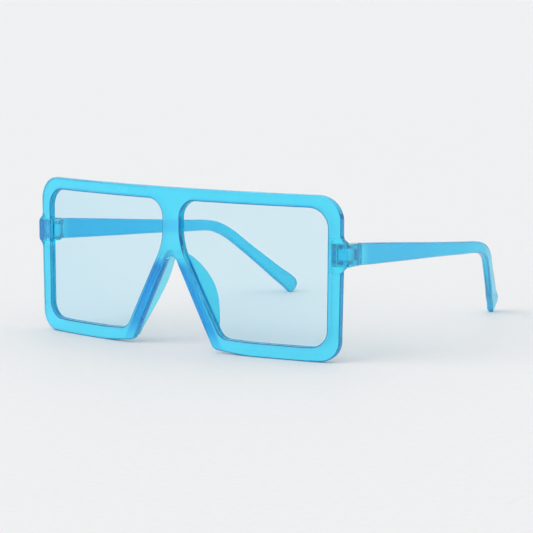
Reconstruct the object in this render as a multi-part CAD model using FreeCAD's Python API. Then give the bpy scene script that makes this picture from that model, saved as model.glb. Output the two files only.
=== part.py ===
import FreeCAD, Part
import math
import os
from FreeCAD import Vector

# Oversized flat-top sunglasses, moulded in translucent plastic, standing open on a table.
# Millimetres. X across the face, front towards -Y, temples run to +Y, Z up.
# The wearer's left side is +X. Everything is drawn with the middle of the bridge's front
# at x = 0, y = 0, and moved at the end so that the origin lies under the middle of the whole.

# Front, seen from the front
front_width = 145.4
front_height = 62.3
side_taper = 0.7
top_bar = 4.8
side_bar = 5.2
bottom_bar = 5.4
bridge_width = 8.4
nose_width = 39.2
nose_peak_drop = 23.2
nose_foot_height = 1.4
nose_bar_width = 5.7
bridge_turn_rise = 1.4
foot_inner_reach = 14.4
foot_outer_reach = 15.7
foot_corner_rise = 0.45
outer_top_radius = 9.5
outer_bottom_radius = 8.0
nose_foot_radius = 3.2
nose_top_radius = 3.0
foot_blend_radius = 60.0
opening_top_inner_radius = 7.0
opening_top_outer_radius = 7.5
opening_bottom_outer_radius = 6.5
opening_nose_radius = 5.5
opening_bridge_radius = 23.0

# Front, in depth
front_curve_radius = 312.0
front_thickness = 3.5
front_edge_radius = 0.45
outer_back_radius = 1.5
opening_back_radius = 0.35
cut_overrun = 2.0

# Lenses
lens_setback = 1.5
lens_thickness = 1.3
groove_depth = 0.9
lens_clearance = 0.05

# Ears at the front's sides and the endpieces behind them
hinge_drop = 22.25
ear_reach = 2.4
ear_half_height = 4.0
ear_flare = 1.9
ear_rise = 0.4
ear_blend_radius = 2.2
butt_depth = 6.45
endpiece_sink = 1.6
endpiece_waist_depth = 1.4
endpiece_root_half_height = 4.3
endpiece_waist_half_height = 4.2
endpiece_butt_half_height = 4.15
endpiece_edge_radius = 0.7
seat_depth = 2.0
seat_inset = 4.9

# Hinges
hinge_axis_inset = 1.1
hinge_axis_set = 0.1
knuckle_radius = 1.5
tongue_half_height = 1.9
knuckle_gap = 0.1
knuckle_height = 1.9
swing_clearance = 0.15
block_thickness = 1.2
block_inset = 4.6
arm_inset = 2.1
screw_radius = 0.6
screw_clearance = 0.05
screw_head_radius = 1.05
screw_head_height = 0.6
screw_slot_width = 0.28
screw_slot_depth = 0.3
rivet_radius = 0.6
rivet_depth = 2.4
rivet_head_radius = 1.0
rivet_head_height = 0.45
rivet_head_edge_radius = 0.2
rivet_inset = 3.55
seat_clearance = 0.02

# Temples: a straight run, a bend behind the ear and a flared drop that leans inward
temple_gap = 0.15
temple_run = 102.2
temple_toe_in = 5.25
temple_fall = 7.6
temple_drop_run = 35.64
temple_drop_lean = 16.5
temple_tip_height = 1.58
temple_bend_radius = 27.0
temple_thickness = 3.3
temple_tip_thickness = 3.0
temple_edge_radius = 1.1
temple_height_at_hinge = 8.4
temple_height_at_bend = 4.8
temple_height_at_tip = 7.1
tip_corner_radius = 3.1
tip_edge_radius = 1.1
tongue_ramp_length = 5.5

# Nose pads, moulded in one with the front
pad_depth = 8.3
pad_flare = 2.8
pad_root_width = 2.6
pad_tip_width = 1.5
pad_sink = 1.3
pad_edge_inset = 0.3
pad_foot_rise = 3.0
pad_peak_drop = 1.5

# Places that follow from the sizes above
half_width = front_width / 2
ear_x = half_width + ear_reach
hinge_height = front_height - hinge_drop
nose_peak_height = front_height - nose_peak_drop
side_back_y = front_curve_radius - math.sqrt((front_curve_radius - front_thickness) ** 2 - half_width ** 2)
hinge_seat_y = side_back_y + seat_depth
butt_y = side_back_y + butt_depth
hinge_axis_x = half_width - hinge_axis_inset
hinge_axis_y = butt_y + hinge_axis_set
temple_start = Vector(ear_x - temple_thickness / 2, butt_y + temple_gap, hinge_height)
temple_corner = temple_start + Vector(-temple_toe_in, temple_run, -temple_fall)
temple_end = Vector(temple_corner.x - temple_drop_lean, temple_corner.y + temple_drop_run, temple_tip_height)

# Height along a pad and its depth there, both from 0 to 1
pad_height_shares = (0.0, 0.095, 0.176, 0.277, 0.422, 0.592, 0.754, 0.873, 0.945, 1.0)
pad_depth_shares = (0.03, 0.15, 0.34, 0.56, 0.83, 1.0, 0.9, 0.66, 0.4, 0.1)

# Places along the temple where its section is set, and how far its height has gone
# from the hinge's to the bend's (run) or from the bend's to the tip's (drop)
run_place_shares = (0.0, 0.16, 0.36, 0.56, 0.75, 0.9)
run_height_shares = (0.0, 0.12, 0.34, 0.6, 0.8, 0.92)
drop_place_shares = (0.14, 0.36, 0.58, 0.8, 1.0)
drop_height_shares = (0.0, 0.1, 0.34, 0.68, 1.0)
bend_turn_shares = (0.0, 0.33, 0.67, 1.0)

# Places along the rounding of the temple's end
tip_round_shares = (0.0, 0.3, 0.55, 0.75, 0.89, 0.97, 1.0)


def rounded_wire(corners, lift):
    """Closed wire of straight runs joined by tangent arcs, from (a, b, radius) corners."""
    count = len(corners)
    points = [Vector(a, b, 0) for a, b, _ in corners]
    edges = []
    ends = []
    for i in range(count):
        here = points[i]
        back = (points[i - 1] - here).normalize()
        ahead = (points[(i + 1) % count] - here).normalize()
        half = back.getAngle(ahead) / 2
        radius = corners[i][2]
        reach = radius / math.tan(half)
        middle = (back + ahead).normalize()
        start = here + back * reach
        end = here + ahead * reach
        crown = here + middle * (radius / math.sin(half) - radius)
        ends.append((start, crown, end))
    for i in range(count):
        start, crown, end = ends[i]
        edges.append(Part.Arc(lift(start), lift(crown), lift(end)).toShape())
        edges.append(Part.LineSegment(lift(end), lift(ends[(i + 1) % count][0])).toShape())
    return Part.Wire(edges)


def on_front(p):
    """Point of a front view, placed ahead of the front."""
    return Vector(p.x, -cut_overrun, p.y)


def nose_edge_x(z):
    """Half the gap between the nose edges at a height, before the corners are rounded."""
    return nose_width / 2 * (nose_peak_height - z) / (nose_peak_height - nose_foot_height)


def front_y(x, depth):
    """Y of the curved front at a place across it, a depth behind its front face."""
    return front_curve_radius - math.sqrt((front_curve_radius - depth) ** 2 - x * x)


def outer_corners():
    """Corners of the front's outline, from the brow's left end round to the nose and back."""
    side = half_width
    low = side - side_taper
    ear_top = hinge_height + ear_rise + ear_half_height
    ear_low = hinge_height + ear_rise - ear_half_height
    half = [
        (side, front_height, outer_top_radius),
        (side, ear_top + ear_flare, ear_blend_radius),
        (ear_x, ear_top, ear_blend_radius),
        (ear_x, ear_low, ear_blend_radius),
        (side, ear_low - ear_flare, ear_blend_radius),
        (low, foot_corner_rise, outer_bottom_radius),
        (half_width - foot_outer_reach, 0, foot_blend_radius),
        (nose_width / 2 + foot_inner_reach, 0, foot_blend_radius),
        (nose_width / 2, nose_foot_height, nose_foot_radius),
    ]
    mirrored = [(-a, b, r) for a, b, r in reversed(half)]
    return half + [(0, nose_peak_height, nose_top_radius)] + mirrored


def opening_corners():
    """Corners of the lens opening on the +X side."""
    side = half_width - side_bar
    foot = bottom_bar + foot_corner_rise
    nose_x = nose_edge_x(foot) + nose_bar_width
    return [
        (bridge_width / 2, front_height - top_bar, opening_top_inner_radius),
        (side, front_height - top_bar, opening_top_outer_radius),
        (side - side_taper / 2, foot, opening_bottom_outer_radius),
        (half_width - foot_outer_reach, bottom_bar, foot_blend_radius),
        (nose_width / 2 + foot_inner_reach, bottom_bar, foot_blend_radius),
        (nose_x, foot, opening_nose_radius),
        (bridge_width / 2, nose_peak_height + bridge_turn_rise, opening_bridge_radius),
    ]


def shell(near, far):
    """Upright cylindrical layer of the front between two depths behind its front face."""
    centre = Vector(0, front_curve_radius, -cut_overrun)
    height = front_height + 2 * cut_overrun
    outside = Part.makeCylinder(front_curve_radius - near, height, centre)
    inside = Part.makeCylinder(front_curve_radius - far, height, centre)
    return outside.cut(inside)


def through(wire):
    """Outline on the front, carried back through its whole depth."""
    return Part.Face(wire).extrude(Vector(0, front_curve_radius / 2, 0))


def rim_edges(shape, depth, outer):
    """Edges of the curved face a depth behind the front: its outline, or its lens openings."""
    found = []
    for face in shape.Faces:
        round_face = face.Surface.TypeId == "Part::GeomCylinder"
        if round_face and abs(face.Surface.Radius - (front_curve_radius - depth)) < seat_clearance:
            for wire in face.Wires:
                if wire.isSame(face.OuterWire) == outer:
                    found += wire.Edges
    return found


def mirror(shape):
    """Same piece on the other side of the face."""
    return shape.mirror(Vector(0, 0, 0), Vector(1, 0, 0))


def post(x, y, low, high, radius):
    """Upright round post."""
    return Part.makeCylinder(radius, high - low, Vector(x, y, low))


def plan_block(corners, low, high):
    """Straight-sided block with a plan outline, between two heights above the hinge's middle."""
    lifted = [Vector(x, y, hinge_height + low) for x, y in corners]
    face = Part.Face(Part.makePolygon(lifted + lifted[:1]))
    return face.extrude(Vector(0, 0, high - low))


def make_rims():
    """Curved plate with the two lens openings and softened edges, without its lens grooves."""
    plate = through(rounded_wire(outer_corners(), on_front))
    opening = through(rounded_wire(opening_corners(), on_front))
    body = plate.common(shell(0, front_thickness)).cut(opening).cut(mirror(opening))
    body = body.makeFillet(front_edge_radius, rim_edges(body, 0, True) + rim_edges(body, 0, False))
    body = body.makeFillet(opening_back_radius, rim_edges(body, front_thickness, False))
    return body.makeFillet(outer_back_radius, rim_edges(body, front_thickness, True))


def make_endpiece():
    """Block behind an ear: a seat for the hinge block and a wall that the temple butts on."""
    wall_inner_x = hinge_axis_x + knuckle_radius + swing_clearance
    seat_x = half_width - seat_inset
    root_y = side_back_y - endpiece_sink
    plan = [
        (seat_x, root_y),
        (seat_x, hinge_seat_y),
        (wall_inner_x, hinge_seat_y),
        (wall_inner_x, butt_y),
        (ear_x, butt_y),
        (ear_x, root_y),
    ]
    height = endpiece_root_half_height
    block = plan_block(plan, -height, height)
    profile = []
    for side in (1, -1):
        line = [
            (root_y, endpiece_root_half_height),
            (side_back_y + endpiece_waist_depth, endpiece_waist_half_height),
            (butt_y, endpiece_butt_half_height),
        ]
        line = line if side > 0 else line[::-1]
        profile += [Vector(0, y, hinge_height + side * h) for y, h in line]
    face = Part.Face(Part.makePolygon(profile + profile[:1]))
    block = block.common(face.extrude(Vector(ear_x, 0, 0)))
    outer = []
    for edge in block.Edges:
        middle = edge.CenterOfMass
        level = abs(edge.Vertexes[0].Y - edge.Vertexes[-1].Y) > endpiece_edge_radius
        if level and abs(middle.x - ear_x) < seat_clearance:
            outer.append(edge)
    return block.makeFillet(endpiece_edge_radius, outer)


def make_pad():
    """Nose pad: a wing that grows out of the nose edge's back, flares and dies away."""
    sections = []
    span = nose_peak_height - pad_peak_drop - pad_foot_rise
    for height, deep in zip(pad_height_shares, pad_depth_shares):
        z = pad_foot_rise + span * height
        root = max(nose_edge_x(z), 0) + pad_edge_inset
        back = front_y(root, front_thickness)
        depth = pad_depth * deep
        lean = pad_flare * deep
        inner_root = Vector(root, back - pad_sink, z)
        outer_root = Vector(root + pad_root_width, back - pad_sink, z)
        inner_tip = Vector(root + lean, back + depth, z)
        outer_tip = Vector(root + lean + pad_tip_width, back + depth, z)
        crown = inner_tip + Vector(pad_tip_width / 2, pad_tip_width / 2, 0)
        edges = [
            Part.LineSegment(inner_root, outer_root).toShape(),
            Part.LineSegment(outer_root, outer_tip).toShape(),
            Part.Arc(outer_tip, crown, inner_tip).toShape(),
            Part.LineSegment(inner_tip, inner_root).toShape(),
        ]
        sections.append(Part.Wire(edges))
    return Part.makeLoft(sections, True, False)


def make_groove():
    """Space of the groove that holds a lens, with its clearance."""
    wire = rounded_wire(opening_corners(), on_front).makeOffset2D(groove_depth)
    near = lens_setback - lens_clearance
    return through(wire).common(shell(near, lens_setback + lens_thickness + lens_clearance))


def make_lens():
    """Curved lens, a little smaller than its groove."""
    wire = rounded_wire(opening_corners(), on_front).makeOffset2D(groove_depth - lens_clearance)
    return through(wire).common(shell(lens_setback, lens_setback + lens_thickness))


def rivet_places():
    """Centres of the two rivets on the hinge seat, at the middle of the knuckles."""
    half = tongue_half_height + knuckle_gap + knuckle_height / 2
    return [Vector(half_width - rivet_inset, hinge_seat_y, hinge_height + s * half) for s in (-1, 1)]


def rivet_hole():
    """Round holes for the rivets, through the block and into the front."""
    radius = rivet_radius + seat_clearance
    length = rivet_depth + seat_clearance + block_thickness + cut_overrun
    start = Vector(0, -rivet_depth - seat_clearance, 0)
    holes = [Part.makeCylinder(radius, length, p + start, Vector(0, 1, 0)) for p in rivet_places()]
    return holes[0].fuse(holes[1])


def make_rivets():
    """Two headed rivets that hold the hinge block to the front."""
    rivets = []
    for place in rivet_places():
        start = place + Vector(0, -rivet_depth, 0)
        shank = Part.makeCylinder(rivet_radius, rivet_depth + block_thickness, start, Vector(0, 1, 0))
        seat = place + Vector(0, block_thickness, 0)
        head = Part.makeCylinder(rivet_head_radius, rivet_head_height, seat, Vector(0, 1, 0))
        rim = [e for e in head.Edges if e.Vertexes[0].Y > seat.y + seat_clearance and len(e.Vertexes) == 1]
        head = head.makeFillet(rivet_head_edge_radius, rim)
        rivets.append(shank.fuse(head))
    return Part.makeCompound(rivets)


def make_hinge_block():
    """Plastic block with two knuckles, above and below the temple's tongue."""
    wall = hinge_axis_x + knuckle_radius
    half = tongue_half_height + knuckle_gap + knuckle_height
    back = hinge_seat_y + block_thickness
    inner = half_width - block_inset
    block = plan_block(
        [(inner, hinge_seat_y), (wall, hinge_seat_y), (wall, back), (inner, back)],
        -half,
        half,
    )
    for side in (-1, 1):
        near = side * (tongue_half_height + knuckle_gap)
        low = min(near, side * half)
        high = max(near, side * half)
        arm = plan_block(
            [(half_width - arm_inset, hinge_seat_y), (wall, hinge_seat_y), (wall, hinge_axis_y),
             (hinge_axis_x - knuckle_radius, hinge_axis_y)],
            low,
            high,
        )
        ring = post(hinge_axis_x, hinge_axis_y, hinge_height + low, hinge_height + high, knuckle_radius)
        block = block.fuse(arm).fuse(ring)
    return block.cut(rivet_hole()).cut(screw_space()).removeSplitter()


def screw_space():
    """Bore through both knuckles with the counterbore for the screw's head."""
    half = tongue_half_height + knuckle_gap + knuckle_height
    top = hinge_height + half
    low = hinge_height - half
    bore = post(hinge_axis_x, hinge_axis_y, low - cut_overrun, top, screw_radius + seat_clearance)
    sink = top - screw_head_height
    head = post(hinge_axis_x, hinge_axis_y, sink, top + cut_overrun, screw_head_radius + seat_clearance)
    return bore.fuse(head)


def make_screw():
    """Slotted screw that is the hinge's pin."""
    half = tongue_half_height + knuckle_gap + knuckle_height
    top = hinge_height + half
    low = hinge_height - half
    shank = post(hinge_axis_x, hinge_axis_y, low, top - screw_head_height, screw_radius)
    head = post(hinge_axis_x, hinge_axis_y, top - screw_head_height, top, screw_head_radius)
    corner = Vector(
        hinge_axis_x - screw_head_radius,
        hinge_axis_y - screw_slot_width / 2,
        top - screw_slot_depth,
    )
    slot = Part.makeBox(2 * screw_head_radius, screw_slot_width, screw_slot_depth, corner)
    return shank.fuse(head).cut(slot)


def temple_path():
    """Directions of the temple's run and drop, the turn between them, and the bend's two ends."""
    run = (temple_corner - temple_start).normalize()
    drop = (temple_end - temple_corner).normalize()
    turn = run.getAngle(drop)
    reach = temple_bend_radius * math.tan(turn / 2)
    return run, drop, turn, temple_corner - run * reach, temple_corner + drop * reach


def temple_section(place, ahead, height, thickness):
    """Rounded rectangle square to the temple's line, its height in the side view's plane."""
    up = Vector(0, -ahead.z, ahead.y).normalize()
    out = ahead.cross(up).normalize()
    tall = height / 2
    wide = thickness / 2
    r = temple_edge_radius * thickness / temple_thickness
    corners = [(-wide, -tall, r), (wide, -tall, r), (wide, tall, r), (-wide, tall, r)]
    return rounded_wire(corners, lambda p: place + out * p.x + up * p.y)


def make_temple_blank():
    """Temple without its hinge: sections along the run, round the bend and down the drop."""
    run, drop, turn, bend_start, bend_end = temple_path()
    tip = temple_end - drop * tip_corner_radius
    inward = (drop - run * run.dot(drop)).normalize()
    centre = bend_start + inward * temple_bend_radius
    run_length = bend_start.sub(temple_start).Length
    drop_length = tip.sub(bend_end).Length
    thin = temple_thickness - temple_tip_thickness
    whole = run_length + temple_bend_radius * turn + drop_length
    lead = temple_start - run * cut_overrun
    sections = [temple_section(lead, run, temple_height_at_hinge, temple_thickness)]
    for share, gone in zip(run_place_shares, run_height_shares):
        height = temple_height_at_hinge + (temple_height_at_bend - temple_height_at_hinge) * gone
        place = temple_start + run * (run_length * share)
        thickness = temple_thickness - thin * run_length * share / whole
        sections.append(temple_section(place, run, height, thickness))
    for share in bend_turn_shares:
        angle = turn * share
        place = centre - inward * (temple_bend_radius * math.cos(angle))
        place = place + run * (temple_bend_radius * math.sin(angle))
        ahead = run * math.cos(angle) + inward * math.sin(angle)
        thickness = temple_thickness - thin * (run_length + temple_bend_radius * angle) / whole
        sections.append(temple_section(place, ahead, temple_height_at_bend, thickness))
    for share, gone in zip(drop_place_shares, drop_height_shares):
        height = temple_height_at_bend + (temple_height_at_tip - temple_height_at_bend) * gone
        place = bend_end + drop * (drop_length * share)
        thickness = temple_thickness - thin * (whole - drop_length * (1 - share)) / whole
        sections.append(temple_section(place, drop, height, thickness))
    cap = []
    for share in tip_round_shares:
        gone = 1 - math.sqrt(1 - share * share)
        height = temple_height_at_tip - 2 * tip_corner_radius * gone
        thickness = temple_tip_thickness - 2 * tip_edge_radius * gone
        cap.append(temple_section(tip + drop * (tip_corner_radius * share), drop, height, thickness))
    return Part.makeLoft(sections, True, False).fuse(Part.makeLoft(cap, True, False))


def make_temple():
    """Temple with its tongue, the ramp behind the tongue and the room for the block's knuckles."""
    butt = plan_block(
        [(0, 0), (front_width, 0), (front_width, butt_y + temple_gap), (0, butt_y + temple_gap)],
        -temple_height_at_hinge,
        temple_height_at_hinge,
    )
    blank = make_temple_blank().cut(butt)
    low = hinge_height - tongue_half_height
    high = hinge_height + tongue_half_height
    tongue = post(hinge_axis_x, hinge_axis_y, low, high, knuckle_radius)
    face_x = temple_start.x
    ramp = plan_block(
        [(hinge_axis_x - knuckle_radius, hinge_axis_y), (face_x, hinge_axis_y),
         (face_x, hinge_axis_y + tongue_ramp_length)],
        -tongue_half_height,
        tongue_half_height,
    )
    end = plan_block(
        [(hinge_axis_x, hinge_axis_y), (face_x, hinge_axis_y),
         (face_x, butt_y + 2 * temple_gap), (hinge_axis_x, butt_y + 2 * temple_gap)],
        -tongue_half_height,
        tongue_half_height,
    )
    room = knuckle_radius + swing_clearance
    reach = tongue_half_height + temple_height_at_hinge
    for near, far in ((tongue_half_height, reach), (-reach, -tongue_half_height)):
        blank = blank.cut(post(hinge_axis_x, hinge_axis_y, hinge_height + near, hinge_height + far, room))
    body = blank.fuse(tongue).fuse(ramp).fuse(end)
    bore_radius = screw_radius + screw_clearance
    bore = post(hinge_axis_x, hinge_axis_y, low - cut_overrun, high + cut_overrun, bore_radius)
    return body.cut(bore).removeSplitter()


def make_front():
    """Rims, bridge, nose pads and endpieces in one moulding, with its grooves and rivet holes."""
    body = make_rims()
    endpiece = make_endpiece()
    pad = make_pad()
    groove = make_groove()
    holes = rivet_hole()
    for piece in (endpiece, mirror(endpiece), pad, mirror(pad)):
        body = body.fuse(piece)
    for space in (groove, mirror(groove), holes, mirror(holes)):
        body = body.cut(space)
    return body.removeSplitter()


def main():
    """Builds every piece, stands the whole on z = 0 about its middle and writes it."""
    left = {
        "lens": make_lens(),
        "temple": make_temple(),
        "hinge_block": make_hinge_block(),
        "hinge_rivets": make_rivets(),
        "hinge_screw": make_screw(),
    }
    pieces = {"front_frame": make_front()}
    for name, shape in left.items():
        pieces[name + "_left"] = shape
        pieces[name + "_right"] = mirror(shape)
    box = Part.makeCompound(list(pieces.values())).optimalBoundingBox(False, False)
    shift = Vector(-(box.XMin + box.XMax) / 2, -(box.YMin + box.YMax) / 2, -box.ZMin)
    os.makedirs("parts", exist_ok=True)
    for name, shape in pieces.items():
        shape.translate(shift)
        shape.exportStep("parts/" + name + ".step")
        low = shape.optimalBoundingBox(False, False)
        print(name, "solids", len(shape.Solids), "valid", shape.isValid(), "volume", round(shape.Volume, 1),
              "low", round(low.ZMin, 2))
    axis = Vector(hinge_axis_x, hinge_axis_y, hinge_height) + shift
    print("size", round(box.XLength, 2), round(box.YLength, 2), round(box.ZLength, 2))
    print("shift", round(shift.x, 3), round(shift.y, 3), round(shift.z, 3))
    print("hinge axis", round(axis.x, 3), round(axis.y, 3), round(axis.z, 3))


main()
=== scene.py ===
"""Looks of oversized flat-top sunglasses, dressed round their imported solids.

Metres, in the solids' own frame: +X to the wearer's left, +Y from the front to the temple tips, +Z up.
The mouldings and the screws are welded copies of the solids, so that light bends through one closed skin.
The lenses and the rivets are surfaces worked out here on grids.
"""

import logging
import math
from dataclasses import dataclass, replace
from enum import Enum

import bpy
import numpy as np
from mathutils import Matrix, Vector


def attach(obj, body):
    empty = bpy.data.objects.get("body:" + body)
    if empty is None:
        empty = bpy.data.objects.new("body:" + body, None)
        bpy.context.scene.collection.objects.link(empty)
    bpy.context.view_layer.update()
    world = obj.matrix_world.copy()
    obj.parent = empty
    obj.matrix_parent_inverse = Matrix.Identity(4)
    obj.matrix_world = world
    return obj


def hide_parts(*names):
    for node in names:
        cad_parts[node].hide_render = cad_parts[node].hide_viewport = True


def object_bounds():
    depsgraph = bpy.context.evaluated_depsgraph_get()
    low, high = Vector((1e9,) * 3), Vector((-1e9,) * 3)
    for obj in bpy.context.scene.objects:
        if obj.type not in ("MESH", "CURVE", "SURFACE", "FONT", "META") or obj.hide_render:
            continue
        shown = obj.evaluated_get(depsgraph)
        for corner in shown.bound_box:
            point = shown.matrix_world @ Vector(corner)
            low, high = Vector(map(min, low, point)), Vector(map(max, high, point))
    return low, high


Tree = bpy.types.NodeTree
Node = bpy.types.Node
Socket = bpy.types.NodeSocket
Material = bpy.types.Material
Mesh = bpy.types.Mesh
Piece = bpy.types.Object
Pair = tuple[float, float]
Triple = tuple[float, float, float]
Colour = Triple

LOG = logging.getLogger("sunglasses")
MM = 0.001
# From 0 to 1, and from 1 to 0
UNIT = (0.0, 1.0)
FALLING = (1.0, 0.0)
# Height of the hinges' middle, in millimetres
HINGE_HEIGHT = 40.05
# Light is followed this far, because it reflects many times inside the clear plastic
LIGHT_STEPS = 32
# Values between which most of a noise texture lies
NOISE_ENDS = (0.3, 0.7)
# Corner attribute for painted wall shade: 0 on a moulding's broad faces and 1 on its narrow walls
WALL_SHADE = "wall"
# Part of a normal along the broad direction at which a face is wholly a wall
FULL_WALL = 0.35
# Height in metres above which faces that look up catch the light, so they lose the painted wall shade
LIT_HEIGHT = 0.02
# A face is wholly lit, with no painted wall shade, where this many times its normal's Z reaches 1
LIT_GAIN = 3.0
# Normal of the nose gap's slanted edge on the +X side, square to Y
NOSE_NORMAL = (0.894, 0.0, 0.447)
# Strongest pull of large faces on the weighted normals
AREA_WEIGHT = 100

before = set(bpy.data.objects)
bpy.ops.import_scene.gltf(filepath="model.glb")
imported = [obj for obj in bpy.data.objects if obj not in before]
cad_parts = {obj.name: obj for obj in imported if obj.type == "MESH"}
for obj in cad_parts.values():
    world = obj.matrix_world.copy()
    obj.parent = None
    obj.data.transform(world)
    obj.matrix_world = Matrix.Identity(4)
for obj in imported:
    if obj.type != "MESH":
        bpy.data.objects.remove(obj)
CAD_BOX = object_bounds()
FRONT_Y = CAD_BOX[0].y


class Side(Enum):
    """The wearer's two sides, with the sign of their X."""

    LEFT = 1
    RIGHT = -1

    @property
    def word(self) -> str:
        """Side's name, as the nodes' names end with it."""
        return self.name.lower()


class Slot(Enum):
    """The record's material slots."""

    FRAME = "frame_plastic"
    LENS = "lens_plastic"
    METAL = "hinge_metal"


class Ease(Enum):
    """Ways to pass from one value to another."""

    EVEN = "LINEAR"
    SOFT = "SMOOTHSTEP"


class Reckoning(Enum):
    """Ways to reckon with several values."""

    SUM = "ADD"
    PRODUCT = "MULTIPLY"


class MixSocket(Enum):
    """Numbers of the mix node's sockets for colours, whose names repeat."""

    SHARE = 0
    FIRST = 6
    SECOND = 7
    RESULT = 2


# Node helpers


def link(tree: Tree, source: Socket, target: Socket) -> None:
    """Joins two sockets of a node tree."""
    tree.links.new(source, target)


def fresh_material(name: str) -> tuple[Material, Tree, Node]:
    """Starts a node material with an empty Principled shader.

    Args:
        name: name of the new material.

    Returns:
        The material, its node tree and its Principled shader.
    """
    material = bpy.data.materials.new(name)
    material.use_nodes = True
    tree = material.node_tree
    return material, tree, tree.nodes["Principled BSDF"]


def noise(tree: Tree, scale: float, detail: float, stretch: Triple = (1.0, 1.0, 1.0)) -> Socket:
    """Adds a noise texture on Object coordinates.

    Args:
        tree: node tree to add to.
        scale: noise cells per metre.
        detail: octaves of finer noise.
        stretch: scale of the pattern along X, Y and Z.

    Returns:
        The noise value.
    """
    place = tree.nodes.new("ShaderNodeTexCoord")
    mapping = tree.nodes.new("ShaderNodeMapping")
    mapping.inputs["Scale"].default_value = stretch
    texture = tree.nodes.new("ShaderNodeTexNoise")
    texture.inputs["Scale"].default_value = scale
    texture.inputs["Detail"].default_value = detail
    link(tree, place.outputs["Object"], mapping.inputs["Vector"])
    link(tree, mapping.outputs["Vector"], texture.inputs["Vector"])
    return texture.outputs["Fac"]


def fade(tree: Tree, value: Socket, ends: Pair, results: Pair, ease: Ease = Ease.SOFT) -> Socket:
    """Passes from one result to another.

    Args:
        tree: node tree to add to.
        value: output to map.
        ends: values up to which the first result holds and from which the last one holds.
        results: the first and the last result.
        ease: way from the one to the other.

    Returns:
        The mapped output.
    """
    node = tree.nodes.new("ShaderNodeMapRange")
    node.interpolation_type = ease.value
    node.inputs["From Min"].default_value, node.inputs["From Max"].default_value = ends
    node.inputs["To Min"].default_value, node.inputs["To Max"].default_value = results
    link(tree, value, node.inputs["Value"])
    return node.outputs["Result"]


def spread(tree: Tree, value: Socket, results: Pair) -> Socket:
    """Maps a noise value evenly to a range of its own."""
    return fade(tree, value, NOISE_ENDS, results, Ease.EVEN)


def two_tones(tree: Tree, value: Socket, first: Colour, second: Colour, ends: Pair = NOISE_ENDS) -> Socket:
    """Blends two colours by a value.

    Args:
        tree: node tree to add to.
        value: output that chooses between the colours.
        first: colour where the value is low.
        second: colour where the value is high.
        ends: values at which the first and the second colour are pure.

    Returns:
        The colour output.
    """
    ramp = tree.nodes.new("ShaderNodeValToRGB")
    for element, place, colour in zip(ramp.color_ramp.elements, ends, (first, second)):
        element.position = place
        element.color = (*colour, 1.0)
    link(tree, value, ramp.inputs["Fac"])
    return ramp.outputs["Color"]


def blend(tree: Tree, share: Socket, first: Socket, second: Socket) -> Socket:
    """Mixes two colour outputs.

    Args:
        tree: node tree to add to.
        share: share of the second colour.
        first: colour at a share of 0.
        second: colour at a share of 1.

    Returns:
        The mixed colour.
    """
    mix = tree.nodes.new("ShaderNodeMix")
    mix.data_type = "RGBA"
    link(tree, share, mix.inputs[MixSocket.SHARE.value])
    link(tree, first, mix.inputs[MixSocket.FIRST.value])
    link(tree, second, mix.inputs[MixSocket.SECOND.value])
    return mix.outputs[MixSocket.RESULT.value]


def reckon(tree: Tree, way: Reckoning, first: Socket, *others: Socket) -> Socket:
    """Adds up or multiplies outputs.

    Args:
        tree: node tree to add to.
        way: sum or product.
        first: first output.
        others: further outputs.

    Returns:
        The sum or the product.
    """
    for other in others:
        node = tree.nodes.new("ShaderNodeMath")
        node.operation = way.value
        link(tree, first, node.inputs[0])
        link(tree, other, node.inputs[1])
        first = node.outputs["Value"]
    return first


def relief(tree: Tree, shader: Node, value: Socket, depth: float) -> None:
    """Gives a shader a bump of a real depth.

    Args:
        tree: node tree to add to.
        shader: shader that takes the bump.
        value: height between 0 and 1.
        depth: height in metres that 1 stands for.
    """
    bump = tree.nodes.new("ShaderNodeBump")
    bump.inputs["Distance"].default_value = depth
    link(tree, value, bump.inputs["Height"])
    link(tree, bump.outputs["Normal"], shader.inputs["Normal"])


# Zones of the mouldings


@dataclass(frozen=True)
class Place:
    """Object coordinates with X made positive, so that both sides look alike.

    Attributes:
        vector: the vector (|x|, y, z).
        x: its first part.
        y: its second part.
        z: its third part.
    """

    vector: Socket
    x: Socket
    y: Socket
    z: Socket


@dataclass(frozen=True)
class Band:
    """Stretch of a coordinate over which a mark passes smoothly from one value to another.

    Attributes:
        ends: places in metres where the stretch starts and ends.
        marks: marks up to its start and from its end on.
    """

    ends: Pair
    marks: Pair = UNIT

    def mark(self, tree: Tree, place: Socket) -> Socket:
        """Adds the mark for a coordinate."""
        return fade(tree, place, self.ends, self.marks)


# Where the zones begin and end: the bars' sides along the nose gap's normal, the rest along |x|, y or z
BAR_GAP_SIDE = Band((0.0172, 0.0178))
BAR_LENS_SIDE = Band((0.0214, 0.0228), FALLING)
BAR_BACK = Band((FRONT_Y + 0.0036, FRONT_Y + 0.0044), FALLING)
BAR_TOP = Band((0.031, 0.036), FALLING)
BAR_FOOT = Band((0.0, 0.011), (0.2, 1.0))
PAD_OUTSIDE = Band((0.024, 0.028), FALLING)
PAD_FRONT = Band((FRONT_Y + 0.0042, FRONT_Y + 0.0052))
EAR_INSIDE = Band((0.0675, 0.0690))
EAR_BACK = Band((FRONT_Y + 0.0225, FRONT_Y + 0.0235), FALLING)
EAR_FOOT = Band((0.0325, 0.0345))
EAR_TOP = Band((0.0455, 0.0475), FALLING)
TEMPLE_RUN = Band((-0.03, 0.08))


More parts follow.
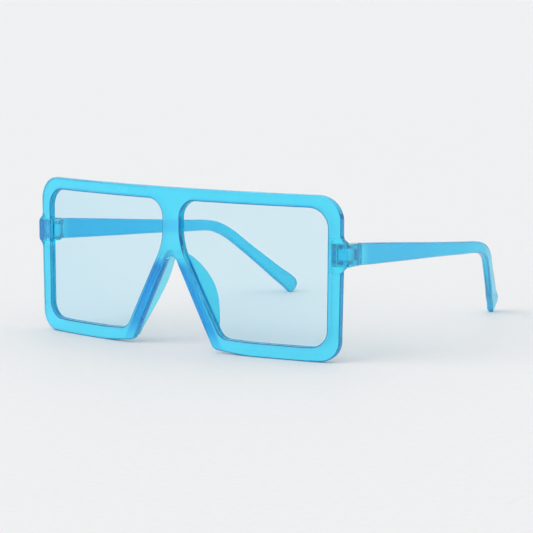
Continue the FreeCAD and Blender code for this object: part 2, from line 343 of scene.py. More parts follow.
def mirrored_place(tree: Tree) -> Place:
    """Adds the Object coordinates with X made positive: the larger of (x, y, z) and (-x, y, z).

    Args:
        tree: node tree to add to.

    Returns:
        The mirrored coordinates.
    """
    place = tree.nodes.new("ShaderNodeTexCoord")
    mirror = tree.nodes.new("ShaderNodeMapping")
    mirror.inputs["Scale"].default_value = (-1.0, 1.0, 1.0)
    larger = tree.nodes.new("ShaderNodeVectorMath")
    larger.operation = "MAXIMUM"
    parts = tree.nodes.new("ShaderNodeSeparateXYZ")
    link(tree, place.outputs["Object"], mirror.inputs["Vector"])
    link(tree, place.outputs["Object"], larger.inputs[0])
    link(tree, mirror.outputs["Vector"], larger.inputs[1])
    link(tree, larger.outputs["Vector"], parts.inputs["Vector"])
    return Place(larger.outputs["Vector"], *(parts.outputs[axis] for axis in "XYZ"))


def nose_bars(tree: Tree, place: Place) -> Socket:
    """Marks the slanted nose bars for painted shade, where the pads behind them make the plastic thick.

    The dot product of (|x|, y, z) and the nose gap's normal is about 18 mm all along the gap's slanted edge,
    and grows from there across the bar to the lens.

    Args:
        tree: node tree to add to.
        place: mirrored coordinates.

    Returns:
        1 on the bars, less at their foot, falling to 0 at the lens, above the gap and behind the front.
    """
    across = tree.nodes.new("ShaderNodeVectorMath")
    across.operation = "DOT_PRODUCT"
    across.inputs[1].default_value = NOSE_NORMAL
    link(tree, place.vector, across.inputs[0])
    return reckon(
        tree,
        Reckoning.PRODUCT,
        BAR_GAP_SIDE.mark(tree, across.outputs["Value"]),
        BAR_LENS_SIDE.mark(tree, across.outputs["Value"]),
        BAR_BACK.mark(tree, place.y),
        BAR_TOP.mark(tree, place.z),
        BAR_FOOT.mark(tree, place.z),
    )


def thin_parts(tree: Tree, place: Place) -> Socket:
    """Marks the ears with their hinges, the nose pads, and the temples more and more towards their tips,
    which
    are painted paler: painted light for the light that comes through thin plastic.

    Args:
        tree: node tree to add to.
        place: mirrored coordinates.

    Returns:
        1 at the ears, the pads and the tips, 0 on the rest of the front.
    """
    ears = reckon(
        tree,
        Reckoning.PRODUCT,
        EAR_INSIDE.mark(tree, place.x),
        EAR_BACK.mark(tree, place.y),
        EAR_FOOT.mark(tree, place.z),
        EAR_TOP.mark(tree, place.z),
    )
    pads = reckon(tree, Reckoning.PRODUCT, PAD_OUTSIDE.mark(tree, place.x), PAD_FRONT.mark(tree, place.y))
    return reckon(tree, Reckoning.SUM, ears, pads, TEMPLE_RUN.mark(tree, place.y))


# Finishes


@dataclass(frozen=True)
class Tint:
    """Two close tones of one colour, clouded into each other.

    Attributes:
        low: tone where the clouds' value is low.
        high: tone where it is high.
    """

    low: Colour
    high: Colour

    def paint(self, tree: Tree, cloud: Socket) -> Socket:
        """Blends the tones by a noise value."""
        return two_tones(tree, cloud, self.low, self.high)


@dataclass(frozen=True)
class SoakingBody:
    """Clear body that takes density * (1 - colour) of each colour out of the light per metre.

    Attributes:
        colour: colour that passes.
        density: strength per metre.
    """

    colour: Colour
    density: float = 200.0

    def fill(self, tree: Tree) -> None:
        """Fills a material with the body.

        Args:
            tree: node tree of the material.
        """
        body = tree.nodes.new("ShaderNodeVolumeAbsorption")
        body.inputs["Color"].default_value = (*self.colour, 1.0)
        body.inputs["Density"].default_value = self.density
        link(tree, body.outputs["Volume"], tree.nodes["Material Output"].inputs["Volume"])


@dataclass(frozen=True)
class Polish:
    """Polished plastic skin, faintly clouded and waved.

    Attributes:
        ior: index of refraction.
        rough: least and greatest roughness.
        wave_depth: depth of the waves in metres.
        wave_scale: waves per metre.
        wave_detail: octaves of finer waves.
        cloud_scale: clouds per metre.
        cloud_detail: octaves of finer clouds.
    """

    ior: float
    rough: Pair
    wave_depth: float
    wave_scale: float = 140.0
    wave_detail: float = 1.0
    cloud_scale: float = 70.0
    cloud_detail: float = 3.0

    def lay(self, tree: Tree, shader: Node) -> Socket:
        """Lays the skin on a shader.

        Args:
            tree: node tree of the material.
            shader: its shader.

        Returns:
            The clouds' value, for the colour.
        """
        shader.inputs["IOR"].default_value = self.ior
        cloud = noise(tree, self.cloud_scale, self.cloud_detail)
        link(tree, spread(tree, cloud, self.rough), shader.inputs["Roughness"])
        relief(tree, shader, noise(tree, self.wave_scale, self.wave_detail), self.wave_depth)
        return cloud


@dataclass(frozen=True)
class LensPlastic:
    """Wholly clear, thinly coated plastic with a faint tint.

    Attributes:
        name: name of the material.
        polish: its skin.
        body: its body.
        tint: its two tones.
    """

    name: str
    polish: Polish
    body: SoakingBody
    tint: Tint

    def make(self) -> Material:
        """Builds the material.

        Returns:
            A clear material with an absorbing body.
        """
        material, tree, shader = fresh_material(self.name)
        shader.inputs["Transmission Weight"].default_value = 1.0
        cloud = self.polish.lay(tree, shader)
        link(tree, self.tint.paint(tree, cloud), shader.inputs["Base Color"])
        self.body.fill(tree)
        return material


@dataclass(frozen=True)
class MilkyPlastic:
    """See-through plastic, a little milky: a tinted skin over a body that soaks up light by depth.

    The skin's colour carries painted light and shade. It is painted paler at the thin parts, and painted
    deeper on the thick nose bars and on the narrow walls, which let less light out, with a painted dark line
    of shade on the rounded edges. The share that is not clear is milky: it scatters the light that falls on
    it. Near the table more of it is milky, which brightens the plastic there: painted light standing in for
    the table's light that fills the plastic.

    Attributes:
        name: name of the material.
        polish: its skin.
        body: its body.
        face: tint of the broad faces.
        thin: paler tint of the ears, pads and temple tips, painted light.
        thick: deeper tint of the nose bars, painted shade.
        wall: deeper tint of the narrow walls, painted shade.
        line: dark tint of the rounded edges, a painted line of shade.
        clear_share: clear share of the broad faces.
        thin_share: clear share of the thin parts.
        foot_share: share of its clear share that the plastic keeps at the table; the milkier skin there is
            painted light.
        foot_ends: heights in metres between which the table's light fades out.
        edge_shade_ends: wall marks between which the painted line of shade sets in.
        wall_shade_ends: wall marks between which the painted wall shade sets in.
    """

    name: str
    polish: Polish
    body: SoakingBody
    face: Tint
    thin: Tint
    thick: Tint
    wall: Tint
    line: Tint
    clear_share: float
    thin_share: float
    foot_share: float
    foot_ends: Pair = (0.004, 0.014)
    edge_shade_ends: Pair = (0.0005, 0.003)
    wall_shade_ends: Pair = (0.6, 0.95)

    def make(self) -> Material:
        """Builds the material.

        Returns:
            A material with a tinted skin, in part clear, and an absorbing body.
        """
        material, tree, shader = fresh_material(self.name)
        cloud = self.polish.lay(tree, shader)
        place = mirrored_place(tree)
        thin = thin_parts(tree, place)
        clear = fade(tree, thin, UNIT, (self.clear_share, self.thin_share))
        # Painted light: more of the skin is milky near the table, which brightens the plastic there
        low = fade(tree, place.z, self.foot_ends, (self.foot_share, 1.0))
        link(tree, reckon(tree, Reckoning.PRODUCT, clear, low), shader.inputs["Transmission Weight"])
        # Painted shade: the wall attribute deepens the narrow walls and draws a dark line on the rounded
        # edges
        wall = tree.nodes.new("ShaderNodeAttribute")
        wall.attribute_name = WALL_SHADE
        edge = fade(tree, wall.outputs["Fac"], self.edge_shade_ends, UNIT)
        wall_shade_share = fade(tree, wall.outputs["Fac"], self.wall_shade_ends, UNIT)
        bars = nose_bars(tree, place)
        # Painted light on the thin parts, painted shade on the nose bars, the rounded edges and the walls
        colour = self.face.paint(tree, cloud)
        for share, tint in ((thin, self.thin), (bars, self.thick), (edge, self.line), (wall_shade_share, self.wall)):
            colour = blend(tree, share, colour, tint.paint(tree, cloud))
        link(tree, colour, shader.inputs["Base Color"])
        self.body.fill(tree)
        return material


@dataclass(frozen=True)
class DrawnSteel:
    """Satin steel with fine lines along Z.

    Attributes:
        name: name of the material.
        tint: its two tones.
        rough: least and greatest roughness.
        line_scale: lines per metre.
        line_detail: octaves of finer lines.
        line_stretch: scale of the pattern along X, Y and Z.
        line_depth: depth of the lines in metres.
    """

    name: str
    tint: Tint
    rough: Pair = (0.22, 0.36)
    line_scale: float = 2500.0
    line_detail: float = 2.0
    line_stretch: Triple = (1.0, 1.0, 0.08)
    line_depth: float = 0.000006

    def make(self) -> Material:
        """Builds the material.

        Returns:
            A metal material with drawn lines.
        """
        material, tree, shader = fresh_material(self.name)
        shader.inputs["Metallic"].default_value = 1.0
        lines = noise(tree, self.line_scale, self.line_detail, self.line_stretch)
        link(tree, self.tint.paint(tree, lines), shader.inputs["Base Color"])
        link(tree, spread(tree, lines, self.rough), shader.inputs["Roughness"])
        relief(tree, shader, lines, self.line_depth)
        return material


# The frame's paler thin tint is painted light; its thick, wall and line tints are painted shade
FRAME_FINISH = MilkyPlastic(
    name="clear_cyan_plastic",
    polish=Polish(ior=1.49, rough=(0.03, 0.08), wave_depth=0.00002),
    body=SoakingBody((0.0, 0.95, 1.0)),
    face=Tint((0.10, 0.77, 0.99), (0.12, 0.80, 1.0)),
    thin=Tint((0.09, 0.80, 0.99), (0.11, 0.83, 1.0)),
    thick=Tint((0.0, 0.33, 0.78), (0.005, 0.36, 0.82)),
    wall=Tint((0.04, 0.48, 0.81), (0.05, 0.52, 0.85)),
    line=Tint((0.0, 0.14, 0.38), (0.01, 0.17, 0.42)),
    clear_share=0.7,
    thin_share=0.92,
    foot_share=0.72,
)
# The temples are tinted deeper near the hinges and painted paler towards their tips, with a painted line of
# shade on their walls
TEMPLE_FINISH = replace(
    FRAME_FINISH,
    name="clear_cyan_temples",
    face=Tint((0.03, 0.61, 0.95), (0.04, 0.64, 0.98)),
    thin=Tint((0.11, 0.77, 0.99), (0.13, 0.80, 1.0)),
    line=Tint((0.03, 0.42, 0.76), (0.04, 0.46, 0.80)),
    clear_share=0.85,
    thin_share=0.82,
    edge_shade_ends=UNIT,
)
LENS_FINISH = LensPlastic(
    name="pale_blue_lens",
    polish=Polish(ior=1.2, rough=(0.0, 0.02), wave_depth=0.000004),
    body=SoakingBody((0.0, 0.76, 1.0)),
    tint=Tint((0.985, 0.992, 1.0), (1.0, 1.0, 1.0)),
)
METAL_FINISH = DrawnSteel(
    name="satin_hinge_steel",
    tint=Tint((0.42, 0.47, 0.54), (0.58, 0.63, 0.70)),
)


# Mesh helpers


def make_piece(name: str, vertices: np.ndarray, faces: list[list[int]]) -> Piece:
    """Puts vertices and faces into a new object at the origin.

    Args:
        name: name of the piece.
        vertices: rows of X, Y, Z in metres.
        faces: vertex numbers of each face.

    Returns:
        The linked object.
    """
    mesh = bpy.data.meshes.new(name)
    mesh.from_pydata(vertices.tolist(), [], faces)
    mesh.validate()
    mesh.update()
    piece = bpy.data.objects.new(name, mesh)
    bpy.context.scene.collection.objects.link(piece)
    return piece


def smooth(piece: Piece, limit: float) -> None:
    """Shades a piece smoothly, with hard lines where faces meet at more than a limit.

    Args:
        piece: the piece to shade.
        limit: greatest angle between smooth neighbours, in radians.
    """
    piece.data.shade_smooth()
    piece.data.set_sharp_from_angle(angle=limit)
    weighted = piece.modifiers.new("weighted_normals", "WEIGHTED_NORMAL")
    weighted.keep_sharp = True
    weighted.weight = AREA_WEIGHT


def rows_of(items: bpy.types.bpy_prop_collection, name: str) -> np.ndarray:
    """Reads a vector of every vertex or face of a mesh.

    Args:
        items: the mesh's vertices or polygons.
        name: name of the vector: co of a vertex, center or normal of a polygon.

    Returns:
        Rows of X, Y, Z.
    """
    values = np.empty((len(items), 3))
    items.foreach_get(name, values.reshape(-1))
    return values


def welded_copy(node: str, name: str, near: float) -> Piece:
    """Copies a solid's loose triangles into one closed skin.

    Corners that round to the same multiple of a small distance become one vertex, and triangles that
    lose a corner by that are left out.

    Args:
        node: the solid's node.
        name: name of the copy.
        near: distance within which corners are the same, in metres.

    Returns:
        The welded copy.
    """
    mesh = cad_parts[node].data
    places = rows_of(mesh.vertices, "co")
    corners = np.empty(len(mesh.loops), dtype=np.int64)
    mesh.loops.foreach_get("vertex_index", corners)
    _, first, same = np.unique(np.round(places / near), axis=0, return_index=True, return_inverse=True)
    triangles = same.reshape(-1)[corners].reshape(-1, 3)
    ahead = np.roll(triangles, -1, axis=1)
    triangles = triangles[(triangles != ahead).all(axis=1)]
    return make_piece(name, places[first], triangles.tolist())


def mark_wall_shade(piece: Piece, broad: np.ndarray, kept: np.ndarray | float) -> None:
    """Writes how much painted shade each corner of a piece gets, by how far it belongs to a narrow wall.

    With c the part of a face's normal that lies along the broad direction, and t going evenly from 0 at c = 1
    to 1 at c = FULL_WALL, the mark of painted shade is t * t * (3 - 2 * t). High faces that look up, which
    catch the light, lose it.

    Args:
        piece: the piece.
        broad: unit direction of the broad faces at each face, one row per face or one for all.
        kept: share of the mark that each face keeps.
    """
    mesh = piece.data
    normals = rows_of(mesh.polygons, "normal")
    along = np.abs((normals * broad).sum(axis=1))
    share = np.clip((1.0 - along) / (1.0 - FULL_WALL), 0.0, 1.0)
    high = rows_of(mesh.polygons, "center")[:, 2] > LIT_HEIGHT
    lit = np.clip(LIT_GAIN * normals[:, 2], 0.0, 1.0) * high
    share = share * share * (3.0 - 2.0 * share) * (1.0 - lit) * kept
    sizes = np.empty(len(mesh.polygons), dtype=np.int32)
    mesh.polygons.foreach_get("loop_total", sizes)
    attribute = mesh.attributes.new(WALL_SHADE, "FLOAT", "CORNER")
    attribute.data.foreach_set("value", np.repeat(share, sizes))


def capped_faces(rows: int, columns: int) -> list[list[int]]:
    """Faces of a grid that closes round its columns, with a pole before its first row and after its last.

    Args:
        rows: rows between the two poles.
        columns: points in each row.

    Returns:
        Triangles round both poles and quads between them; the poles are the last two vertices.
    """
    here = np.arange(columns)
    ahead = np.roll(here, -1)
    steps = np.arange(rows - 1)[:, None] * columns
    quads = np.stack([steps + here, steps + ahead, steps + columns + ahead, steps + columns + here], axis=2)
    pole = rows * columns
    last = pole - columns
    start = np.stack([np.full_like(here, pole), ahead, here], axis=1)
    end = np.stack([np.full_like(here, pole + 1), last + here, last + ahead], axis=1)
    return start.tolist() + quads.reshape(-1, 4).tolist() + end.tolist()


def dress(piece: Piece, material: Material, body: str, node: str) -> None:
    """Gives a piece its finish and its body, and hides the solid that it stands for.

    Args:
        piece: the piece.
        material: its finish.
        body: body that it moves with.
        node: solid that it replaces.
    """
    piece.data.materials.clear()
    piece.data.materials.append(material)
    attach(piece, body)
    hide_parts(node)
    LOG.info("%s stands for %s on %s, %d faces", piece.name, node, body, len(piece.data.polygons))


# Sub-assemblies


@dataclass
class FrontCurve:
    """Upright cylinder that the front's face lies on, in millimetres.

    Attributes:
        radius: its radius.
    """

    radius: float = 312.0

    def y(self, x: np.ndarray, depth: np.ndarray) -> np.ndarray:
        """Place along Y: y = R - sqrt((R - depth)^2 - x^2), counted from the foremost point.

        Args:
            x: places across the front.
            depth: depths behind the front face.

        Returns:
            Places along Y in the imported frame.
        """
        return self.radius - np.sqrt((self.radius - depth) ** 2 - x * x) + FRONT_Y / MM

    def depth(self, places: np.ndarray) -> np.ndarray:
        """Depth behind the front face: R - sqrt(x^2 + (R - y)^2), with y counted from the foremost point.

        Args:
            places: rows of X, Y, Z in metres.

        Returns:
            Depths in millimetres.
        """
        x = places[:, 0] / MM
        y = (places[:, 1] - FRONT_Y) / MM
        return self.radius - np.sqrt(x * x + (self.radius - y) ** 2)

    def facing(self, places: np.ndarray) -> np.ndarray:
        """Unit directions straight out of the front face: (x, -sqrt(R^2 - x^2), 0) / R.

        Args:
            places: rows of X, Y, Z in metres.

        Returns:
            Rows of directions, each level and from the cylinder's axis to the place.
        """
        x = places[:, 0] / MM
        out = np.stack([x, -np.sqrt(self.radius ** 2 - x * x), np.zeros_like(x)], axis=1)
        return out / self.radius


@dataclass
class Mouldings:
    """Front, temples and hinge blocks in clear plastic, and the hinge screws. Lengths in millimetres.

    Attributes:
        curve: curve of the front.
        near: distance within which a solid's corners are welded.
        smooth_limit: greatest angle between smooth neighbours, in radians.
        seat_lift: gap between a hinge block's foot and its seat.
        wall_depth: depth behind the front face at which the painted wall shade ends.
        line_depth: depth at which they end on the nose bars, and over which they fade.
        nose_reach: reach of the nose bars along the nose gap's normal.
        nose_top: height up to which the nose bars reach.
        ear_start: place across the front where the ears begin.
        ear_height: height of the ears' middle.
        ear_half: half the height of the unmarked ears.
        ear_fade: stretch above and below them over which the marks set in.
        temple_wall_shade: share of the painted wall shade on the temples' walls.
    """

    curve: FrontCurve
    near: float = 0.002
    smooth_limit: float = math.radians(30.0)
    seat_lift: float = 0.03
    wall_depth: float = 2.4
    line_depth: float = 0.6
    nose_reach: float = 24.5
    nose_top: float = 40.0
    ear_start: float = 68.0
    ear_height: float = HINGE_HEIGHT
    ear_half: float = 6.0
    ear_fade: float = 3.0
    temple_wall_shade: float = 0.5

    def build(self, plastic: Material, deep: Material, metal: Material) -> None:
        """Makes and dresses the welded pieces.

        Args:
            plastic: finish of the front and the hinge blocks.
            deep: finish of the temples.
            metal: finish of the screws.
        """
        self.make_front(plastic)
        for side in Side:
            self.make_temple(side, deep)
            self.make_knuckles(side, plastic)
            self.make_screw(side, metal)

    def weld(self, node: str, name: str) -> Piece:
        """Makes a welded and smoothly shaded copy of a solid.

        Args:
            node: the solid's node.
            name: name of the copy.

        Returns:
            The copy.
        """
        piece = welded_copy(node, name, self.near * MM)
        smooth(piece, self.smooth_limit)
        return piece

    def kept_marks(self, mesh: Mesh) -> np.ndarray:
        """Works out which share of its painted wall shade each face of the front keeps.

        The mark ends at a depth behind the front face. On the nose bars it ends sooner, and faces that look
        into the nose gap have none. It fades out towards the ears.

        Args:
            mesh: mesh of the front.

        Returns:
            One share per face.
        """
        centres = rows_of(mesh.polygons, "center")
        x = np.abs(centres[:, 0]) / MM
        z = centres[:, 2] / MM
        nose = (x * NOSE_NORMAL[0] + z * NOSE_NORMAL[2] < self.nose_reach) & (z < self.nose_top)
        deepest = np.where(nose, self.line_depth, self.wall_depth)
        kept = np.clip((deepest - self.curve.depth(centres)) / self.line_depth, 0.0, 1.0)
        inward = rows_of(mesh.polygons, "normal")[:, 0] * np.sign(centres[:, 0]) < 0.0
        kept[nose & inward] = 0.0
        beside = np.abs(z - self.ear_height) - self.ear_half
        return np.where(x > self.ear_start, kept * np.clip(beside / self.ear_fade, 0.0, 1.0), kept)

    def make_front(self, plastic: Material) -> None:
        """Makes the front, whose broad faces follow its curve.

        Args:
            plastic: its finish.
        """
        piece = self.weld("front_frame", "front_moulding")
        facing = self.curve.facing(rows_of(piece.data.polygons, "center"))
        # Painted shade on the front's narrow walls and rounded edges
        mark_wall_shade(piece, facing, self.kept_marks(piece.data))
        dress(piece, plastic, "front", "front_frame")

    def make_temple(self, side: Side, plastic: Material) -> None:
        """Makes a temple, whose broad faces look inward and outward.

        Args:
            side: side of the temple.
            plastic: its finish.
        """
        node = f"temple_{side.word}"
        piece = self.weld(node, f"temple_arm_{side.word}")
        sideways = np.array([(1.0, 0.0, 0.0)])
        # Painted shade on the temples' narrow walls
        mark_wall_shade(piece, sideways, self.temple_wall_shade)
        dress(piece, plastic, node, node)

    def make_knuckles(self, side: Side, plastic: Material) -> None:
        """Makes a hinge block, its foot lifted off the seat by less than a hair.

        Light would lose its way between two skins in the same place, so the vertices on the seat move back.

        Args:
            side: side of the block.
            plastic: its finish.
        """
        node = f"hinge_block_{side.word}"
        piece = self.weld(node, f"knuckles_{side.word}")
        places = rows_of(piece.data.vertices, "co")
        seat = places[:, 1].min()
        places[places[:, 1] < seat + self.near * MM, 1] += self.seat_lift * MM
        piece.data.vertices.foreach_set("co", places.reshape(-1))
        piece.data.update()
        dress(piece, plastic, "front", node)

    def make_screw(self, side: Side, metal: Material) -> None:
        """Makes the slotted screw that is a hinge's pin.

        Args:
            side: side of the screw.
            metal: its finish.
        """
        node = f"hinge_screw_{side.word}"
        piece = self.weld(node, f"pin_screw_{side.word}")
        dress(piece, metal, "front", node)


@dataclass
class Lenses:
    """Two tinted lenses, curved with the front, that reach into its grooves. Lengths in millimetres.

    Attributes:
        curve: curve of the front.
        reach: reach of a lens past its opening.
        front_depth: depth of its front face behind the front's.
        back_depth: depth of its back face.
        edge: chamfer of its edges.
        middle: X and Z of the point that its rings go round, on the +X side.
        arc_points: points on each rounded corner.
        rim_points: points round the outline.
        rings: rings from the middle to the edge.
        smooth_limit: greatest angle between smooth neighbours, in radians.
        corners: X, Z and rounding radius of the opening's corners on the +X side.
    """

    curve: FrontCurve
    reach: float = 0.85
    front_depth: float = 1.5
    back_depth: float = 2.8
    edge: float = 0.12
    middle: Pair = (38.0, 33.0)
    arc_points: int = 24
    rim_points: int = 300
    rings: int = 24
    smooth_limit: float = math.radians(30.0)
    corners: tuple[Triple, ...] = (
        (4.2, 57.5, 7.0),
        (67.5, 57.5, 7.5),
        (67.15, 5.85, 6.5),
        (57.0, 5.4, 60.0),
        (34.0, 5.4, 60.0),
        (22.99, 5.85, 5.5),
        (4.2, 40.5, 23.0),
    )

    def build(self, material: Material) -> None:
        """Makes and dresses both lenses.

        Args:
            material: the lenses' finish.
        """
        for side in Side:
            piece = self.make_lens(f"glazing_{side.word}", side)
            dress(piece, material, "front", f"lens_{side.word}")

    def outline(self) -> np.ndarray:
        """Outline of the opening with rounded corners, pushed outward by the reach into the groove.

        At each corner the arc's centre lies on the bisector, radius / sin(half the angle) away, and the arc
        runs between the two directions that are square to the sides. The reach is added to the radius, and
        the arcs and the sides between them are cut into equal steps.

        Returns:
            Rows of X and Z round the outline, on the +X side.
        """
        table = np.array(self.corners)
        points = table[:, :2]
        radius = table[:, 2]
        back = np.roll(points, 1, axis=0) - points
        ahead = np.roll(points, -1, axis=0) - points
        back /= np.linalg.norm(back, axis=1, keepdims=True)
        ahead /= np.linalg.norm(ahead, axis=1, keepdims=True)
        half = np.arccos((back * ahead).sum(axis=1)) / 2.0
        bisector = back + ahead
        bisector /= np.linalg.norm(bisector, axis=1, keepdims=True)
        centre = points + bisector * (radius / np.sin(half))[:, None]
        across = np.stack([bisector[:, 1], -bisector[:, 0]], axis=1)
        across *= np.sign((ahead * across).sum(axis=1))[:, None]
        turn = np.linspace(-1.0, 1.0, self.arc_points) * (math.pi / 2.0 - half)[:, None]
        rays = across[:, None, :] * np.sin(turn)[..., None] - bisector[:, None, :] * np.cos(turn)[..., None]
        arcs = (centre[:, None, :] + rays * (radius + self.reach)[:, None, None]).reshape(-1, 2)
        closed = np.concatenate([arcs, arcs[:1]])
        along = np.concatenate([[0.0], np.cumsum(np.linalg.norm(np.diff(closed, axis=0), axis=1))])
        steps = np.linspace(0.0, along[-1], self.rim_points, endpoint=False)
        return np.stack([np.interp(steps, along, closed[:, axis]) for axis in range(2)], axis=1)

    def make_lens(self, name: str, side: Side) -> Piece:
        """Makes one lens as a profile carried round the outline.

        The point at share s lies at middle + s * (outline - middle), at the depth that its ring gives. The
        rings go from the middle over the front face to the edge, and back over the back face.

        Args:
            name: name of the piece.
            side: side of the lens.

        Returns:
            The closed lens.
        """
        rim = self.outline()
        middle = np.array(self.middle)
        out = np.linspace(0.0, 1.0, self.rings + 1)[1:]
        out[-1] -= self.edge / np.linalg.norm(rim - middle, axis=1).mean()
        shares = np.concatenate([out, [1.0, 1.0], out[::-1]])
        depths = np.concatenate([
            np.full(self.rings, self.front_depth),
            [self.front_depth + self.edge, self.back_depth - self.edge],
            np.full(self.rings, self.back_depth),
        ])
        flat = middle + shares[:, None, None] * (rim - middle)
        y = self.curve.y(flat[..., 0], depths[:, None])
        grid = np.stack([flat[..., 0], y, flat[..., 1]], axis=2).reshape(-1, 3)
        pole_y = self.curve.y(middle[0], np.array([self.front_depth, self.back_depth]))
        poles = np.stack([np.full(2, middle[0]), pole_y, np.full(2, middle[1])], axis=1)
        places = np.concatenate([grid, poles]) * (side.value, 1.0, 1.0) * MM
        faces = capped_faces(len(shares), len(rim))
        if side is Side.RIGHT:
            # Mirrored faces are turned round, so that they look outward again
            faces = [face[::-1] for face in faces]
        piece = make_piece(name, places, faces)
        smooth(piece, self.smooth_limit)
        return piece


@dataclass
class Rivets:
    """Pairs of domed rivets that hold the hinge blocks on the front. Lengths in millimetres.

    The shanks fill their holes as pressed rivets do, so that the metal shows through the plastic.

    Attributes:
        inset_x: place of the rivets across the front.
        seat_y: place of the blocks' seat, counted from the foremost point.
        height: height of a pair's middle.
        spacing: distance between a pair's axes.
        columns: points round a rivet.
        shank_radius: radius of the shank.
        shank_depth: depth of the shank in the front.
        block_thickness: thickness of the block under the head.
        chamfer: chamfer of the shank's end.
        head_radius: radius of the head.
        head_height: height of the head with its dome.
        head_wall: height of the head's straight rim.
        dome_points: points on the dome.
        smooth_limit: greatest angle between smooth neighbours, in radians.
    """

    inset_x: float = 69.15
    seat_y: float = 14.188
    height: float = HINGE_HEIGHT
    spacing: float = 5.9
    columns: int = 40
    shank_radius: float = 0.64
    shank_depth: float = 2.44
    block_thickness: float = 1.2
    chamfer: float = 0.1
    head_radius: float = 1.0
    head_height: float = 0.45
    head_wall: float = 0.15
    dome_points: int = 10
    smooth_limit: float = math.radians(35.0)

    def build(self, metal: Material) -> None:
        """Makes and dresses the rivets of both sides.

        Args:
            metal: the rivets' finish.
        """
        for side in Side:
            piece = self.make_pair(f"rivet_pair_{side.word}", side)
            dress(piece, metal, "front", f"hinge_rivets_{side.word}")

    def profile(self) -> np.ndarray:
        """Radius and place along the axis, from the shank's end to the head's crown.

        The head's dome is a quarter of an ellipse: radius r * cos(t), height h * sin(t).

        Returns:
            Rows of radius and place, without the poles.
        """
        turn = np.linspace(0.0, math.pi / 2.0, self.dome_points + 1)[:-1]
        shank = [
            (self.shank_radius - self.chamfer, -self.shank_depth),
            (self.shank_radius, self.chamfer - self.shank_depth),
            (self.shank_radius, self.block_thickness),
            (self.head_radius, self.block_thickness),
        ]
        rise = self.block_thickness + self.head_wall
        dome = np.stack([
            self.head_radius * np.cos(turn),
            rise + (self.head_height - self.head_wall) * np.sin(turn),
        ], axis=1)
        return np.concatenate([shank, dome])

    def make_pair(self, name: str, side: Side) -> Piece:
        """Makes the two rivets of a side by turning the profile round their axes.

        Args:
            name: name of the piece.
            side: side of the rivets.

        Returns:
            Both rivets in one piece.
        """
        line = self.profile()
        angle = np.linspace(0.0, 2.0 * math.pi, self.columns, endpoint=False)
        along = np.broadcast_to(line[:, 1:], (len(line), self.columns))
        turned = np.stack([line[:, :1] * np.sin(angle), along, line[:, :1] * np.cos(angle)], axis=2)
        poles = [(0.0, -self.shank_depth, 0.0), (0.0, self.block_thickness + self.head_height, 0.0)]
        one = np.concatenate([turned.reshape(-1, 3), poles])
        centre = np.array([side.value * self.inset_x, self.seat_y + FRONT_Y / MM, self.height])
        half = np.array([0.0, 0.0, self.spacing / 2.0])
        places = np.concatenate([one + centre - half, one + centre + half]) * MM
        faces = capped_faces(len(line), self.columns)
        both = faces + [[corner + len(one) for corner in face] for face in faces]
        piece = make_piece(name, places, both)
        smooth(piece, self.smooth_limit)
        return piece


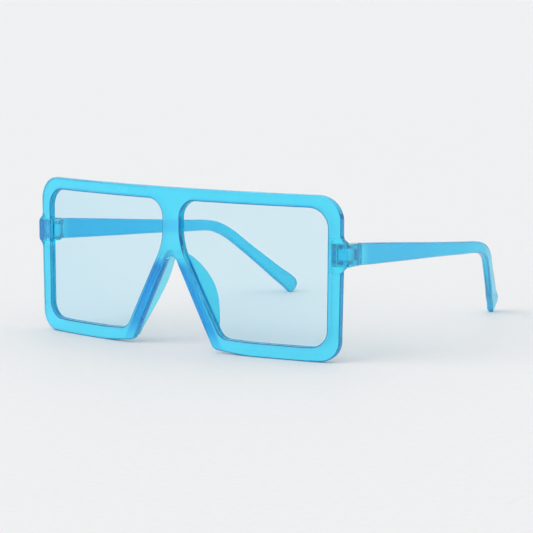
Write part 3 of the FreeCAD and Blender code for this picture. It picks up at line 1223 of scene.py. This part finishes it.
@dataclass
class Stage:
    """Wide pale floor under a soft, even sky and one broad lamp.

    Attributes:
        floor_half: half the floor's width in metres.
        floor_tint: its two tones.
        floor_rough: its roughness.
        floor_specular: its specular level.
        grain_scale: grains of the floor per metre.
        grain_detail: octaves of finer grain.
        sky_level: colour of the sky at the horizon.
        sky_above: colour of the sky overhead.
        lamp_strength: strength of the lamp.
        lamp_angle: angle that the lamp fills, in radians.
        lamp_from: direction that the light comes from.
    """

    floor_half: float = 40.0
    floor_tint: Tint = Tint((0.753, 0.756, 0.761), (0.773, 0.776, 0.781))
    floor_rough: float = 0.6
    floor_specular: float = 0.1
    grain_scale: float = 400.0
    grain_detail: float = 3.0
    sky_level: Colour = (0.80, 0.805, 0.81)
    sky_above: Colour = (0.98, 0.985, 0.99)
    lamp_strength: float = 1.7
    lamp_angle: float = math.radians(60.0)
    lamp_from: Triple = (-0.5, -1.0, 0.5)

    def build(self) -> None:
        """Makes the floor, the sky and the lamp."""
        self.make_floor()
        self.make_sky()
        self.make_lamp()

    def make_floor(self) -> None:
        """Makes a flat floor, wide enough to fill the photograph's view."""
        half = self.floor_half
        corners = np.array([(-half, -half, 0.0), (half, -half, 0.0), (half, half, 0.0), (-half, half, 0.0)])
        floor = make_piece("floor", corners, [[0, 1, 2, 3]])
        material, tree, shader = fresh_material("pale_floor")
        grain = noise(tree, self.grain_scale, self.grain_detail)
        link(tree, self.floor_tint.paint(tree, grain), shader.inputs["Base Color"])
        shader.inputs["Roughness"].default_value = self.floor_rough
        shader.inputs["Specular IOR Level"].default_value = self.floor_specular
        floor.data.materials.append(material)

    def make_sky(self) -> None:
        """Lights the stage from all round, more from above than from the sides."""
        world = bpy.data.worlds.new("studio")
        world.use_nodes = True
        tree = world.node_tree
        direction = tree.nodes.new("ShaderNodeTexCoord")
        parts = tree.nodes.new("ShaderNodeSeparateXYZ")
        link(tree, direction.outputs["Generated"], parts.inputs["Vector"])
        colour = two_tones(tree, parts.outputs["Z"], self.sky_level, self.sky_above, UNIT)
        link(tree, colour, tree.nodes["Background"].inputs["Color"])
        bpy.context.scene.world = world

    def make_lamp(self) -> None:
        """Adds the broad lamp, which lights the whole floor alike."""
        data = bpy.data.lights.new("broad_lamp", "SUN")
        data.energy = self.lamp_strength
        data.angle = self.lamp_angle
        lamp = bpy.data.objects.new("broad_lamp", data)
        lamp.rotation_mode = "QUATERNION"
        lamp.rotation_quaternion = (-Vector(self.lamp_from)).to_track_quat("-Z", "Y")
        bpy.context.scene.collection.objects.link(lamp)


@dataclass
class Viewpoint:
    """Camera at the photograph's angle.

    Attributes:
        azimuth: degrees from the front towards the wearer's left.
        elevation: degrees above the level.
        distance: metres from the camera to its aim.
        focal_pixels: focal length in pixels.
        image_pixels: width of the picture in pixels.
        sensor: width of the camera's sensor in millimetres.
        aim_x: place of the aim across the front, in metres.
        aim_z: height of the aim, in metres.
    """

    azimuth: float = 35.80
    elevation: float = 7.443
    distance: float = 0.82496
    focal_pixels: float = 2222.72
    image_pixels: float = 533.0
    sensor: float = 36.0
    aim_x: float = 0.04524
    aim_z: float = 0.03521

    def build(self) -> None:
        """Makes the camera, aimed beside the middle of the front."""
        turn = math.radians(self.azimuth)
        lift = math.radians(self.elevation)
        back = Vector((math.sin(turn) * math.cos(lift), -math.cos(turn) * math.cos(lift), math.sin(lift)))
        right = Vector((math.cos(turn), math.sin(turn), 0.0))
        axes = Matrix((right, back.cross(right), back)).transposed().to_4x4()
        aim = Vector((self.aim_x, FRONT_Y, self.aim_z))
        data = bpy.data.cameras.new("photo_view")
        data.sensor_width = self.sensor
        data.lens = self.focal_pixels * self.sensor / self.image_pixels
        camera = bpy.data.objects.new("photo_view", data)
        camera.matrix_world = Matrix.Translation(aim + back * self.distance) @ axes
        bpy.context.scene.collection.objects.link(camera)
        bpy.context.scene.camera = camera


def main() -> None:
    """Builds the stage, the camera and every piece in order."""
    logging.basicConfig(level=logging.INFO, format="%(name)s: %(message)s")
    scene = bpy.context.scene
    scene.view_settings.view_transform = "Standard"
    scene.cycles.max_bounces = LIGHT_STEPS
    scene.cycles.glossy_bounces = LIGHT_STEPS
    scene.cycles.transmission_bounces = LIGHT_STEPS
    Stage().build()
    Viewpoint().build()
    curve = FrontCurve()
    metal = METAL_FINISH.make()
    Mouldings(curve).build(FRAME_FINISH.make(), TEMPLE_FINISH.make(), metal)
    Lenses(curve).build(LENS_FINISH.make())
    Rivets().build(metal)


if __name__ == "__main__":
    main()
